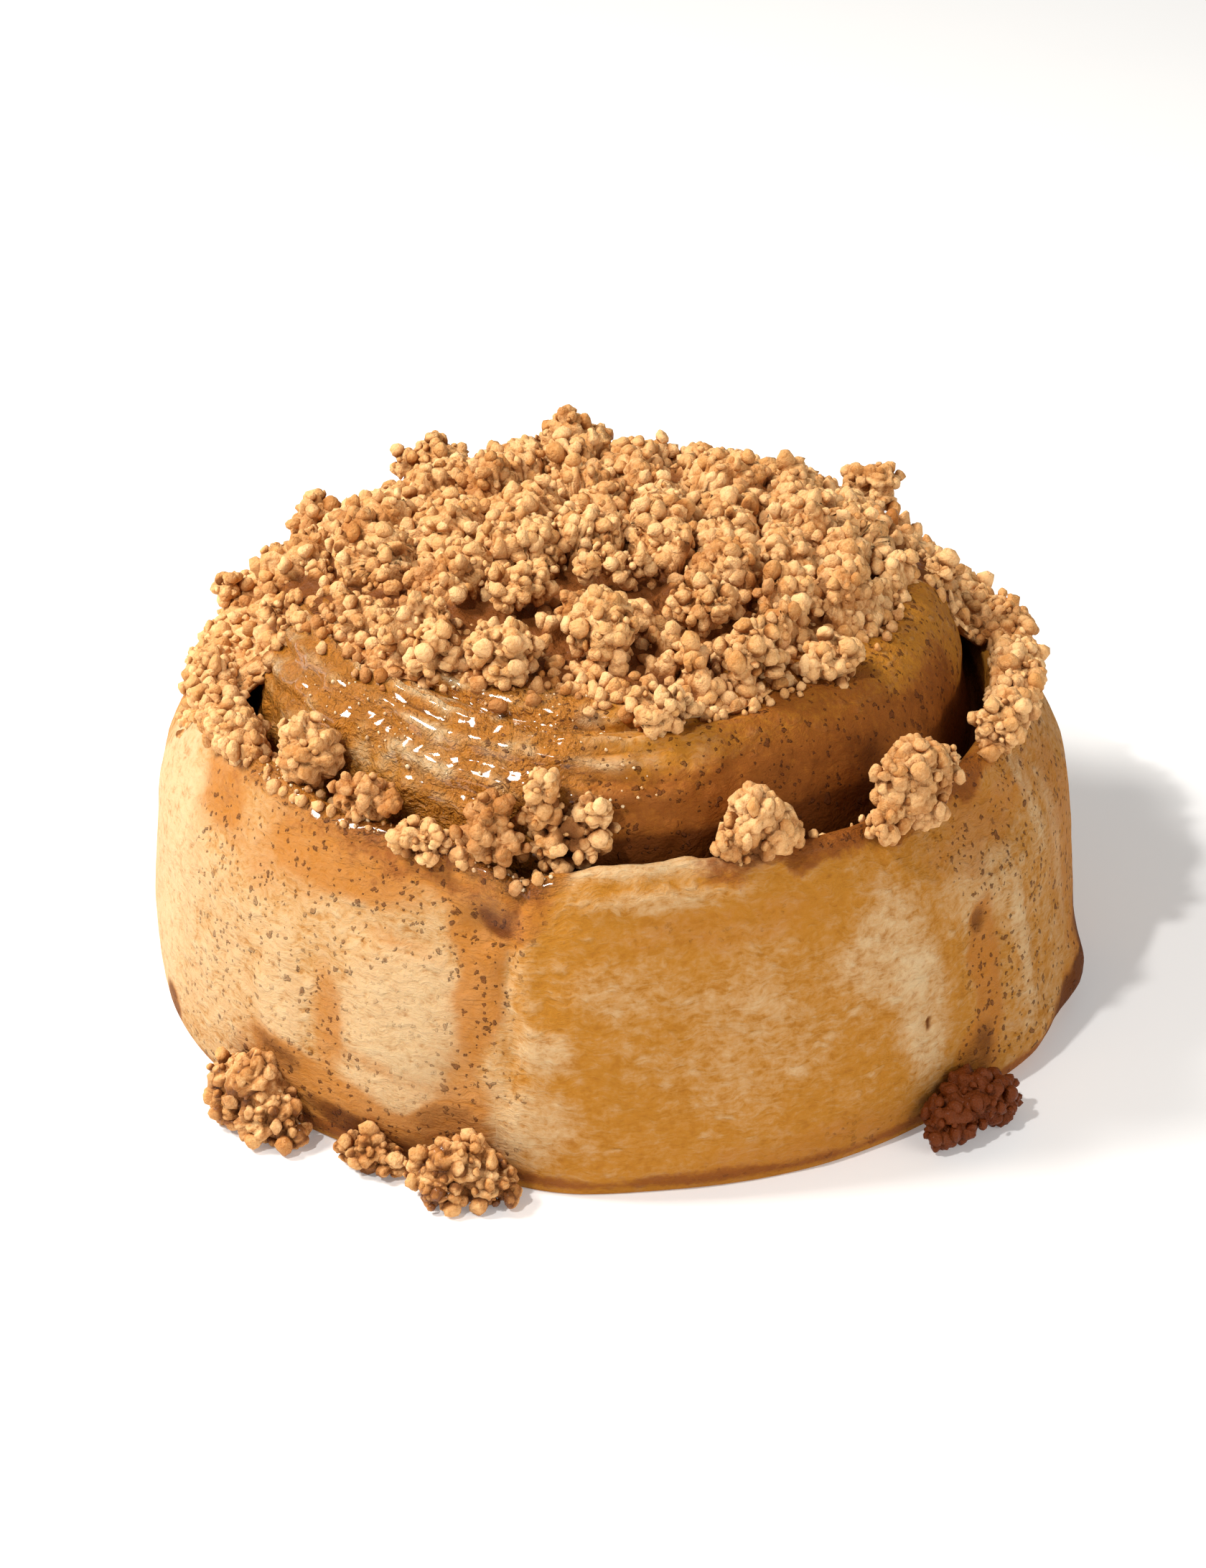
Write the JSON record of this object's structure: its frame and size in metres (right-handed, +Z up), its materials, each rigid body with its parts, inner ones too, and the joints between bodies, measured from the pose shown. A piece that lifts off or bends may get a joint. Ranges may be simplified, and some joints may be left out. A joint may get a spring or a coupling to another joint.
{
  "type": "streusel bun",
  "caption": "Coiled roll of soft baked dough with a risen centre, glazed and topped with a heap and loose lumps of crumb streusel.",
  "frame": {"origin": "middle of the roll's flat underside", "axes": "+Z up through the risen centre; -Y towards the front, where the end of the strip and the loose lumps are; +X to the right"},
  "size_m": [0.1011, 0.1048, 0.0545],
  "materials": {
    "dough": "baked dough, part glazed",
    "streusel": "baked crumb",
    "streusel_lump": "baked crumb"
  },
  "bodies": {
    "root": {"roll": "dough", "streusel_heap": "streusel", "rim_lump_1": "streusel_lump", "rim_lump_2": "streusel_lump", "rim_lump_3": "streusel_lump", "rim_lump_4": "streusel_lump", "rim_lump_5": "streusel_lump", "rim_lump_6": "streusel_lump", "rim_lump_7": "streusel_lump", "foot_lump_1": "streusel_lump", "foot_lump_2": "streusel_lump", "foot_lump_3": "streusel_lump", "foot_lump_4": "streusel_lump"}
  },
  "joints": []
}
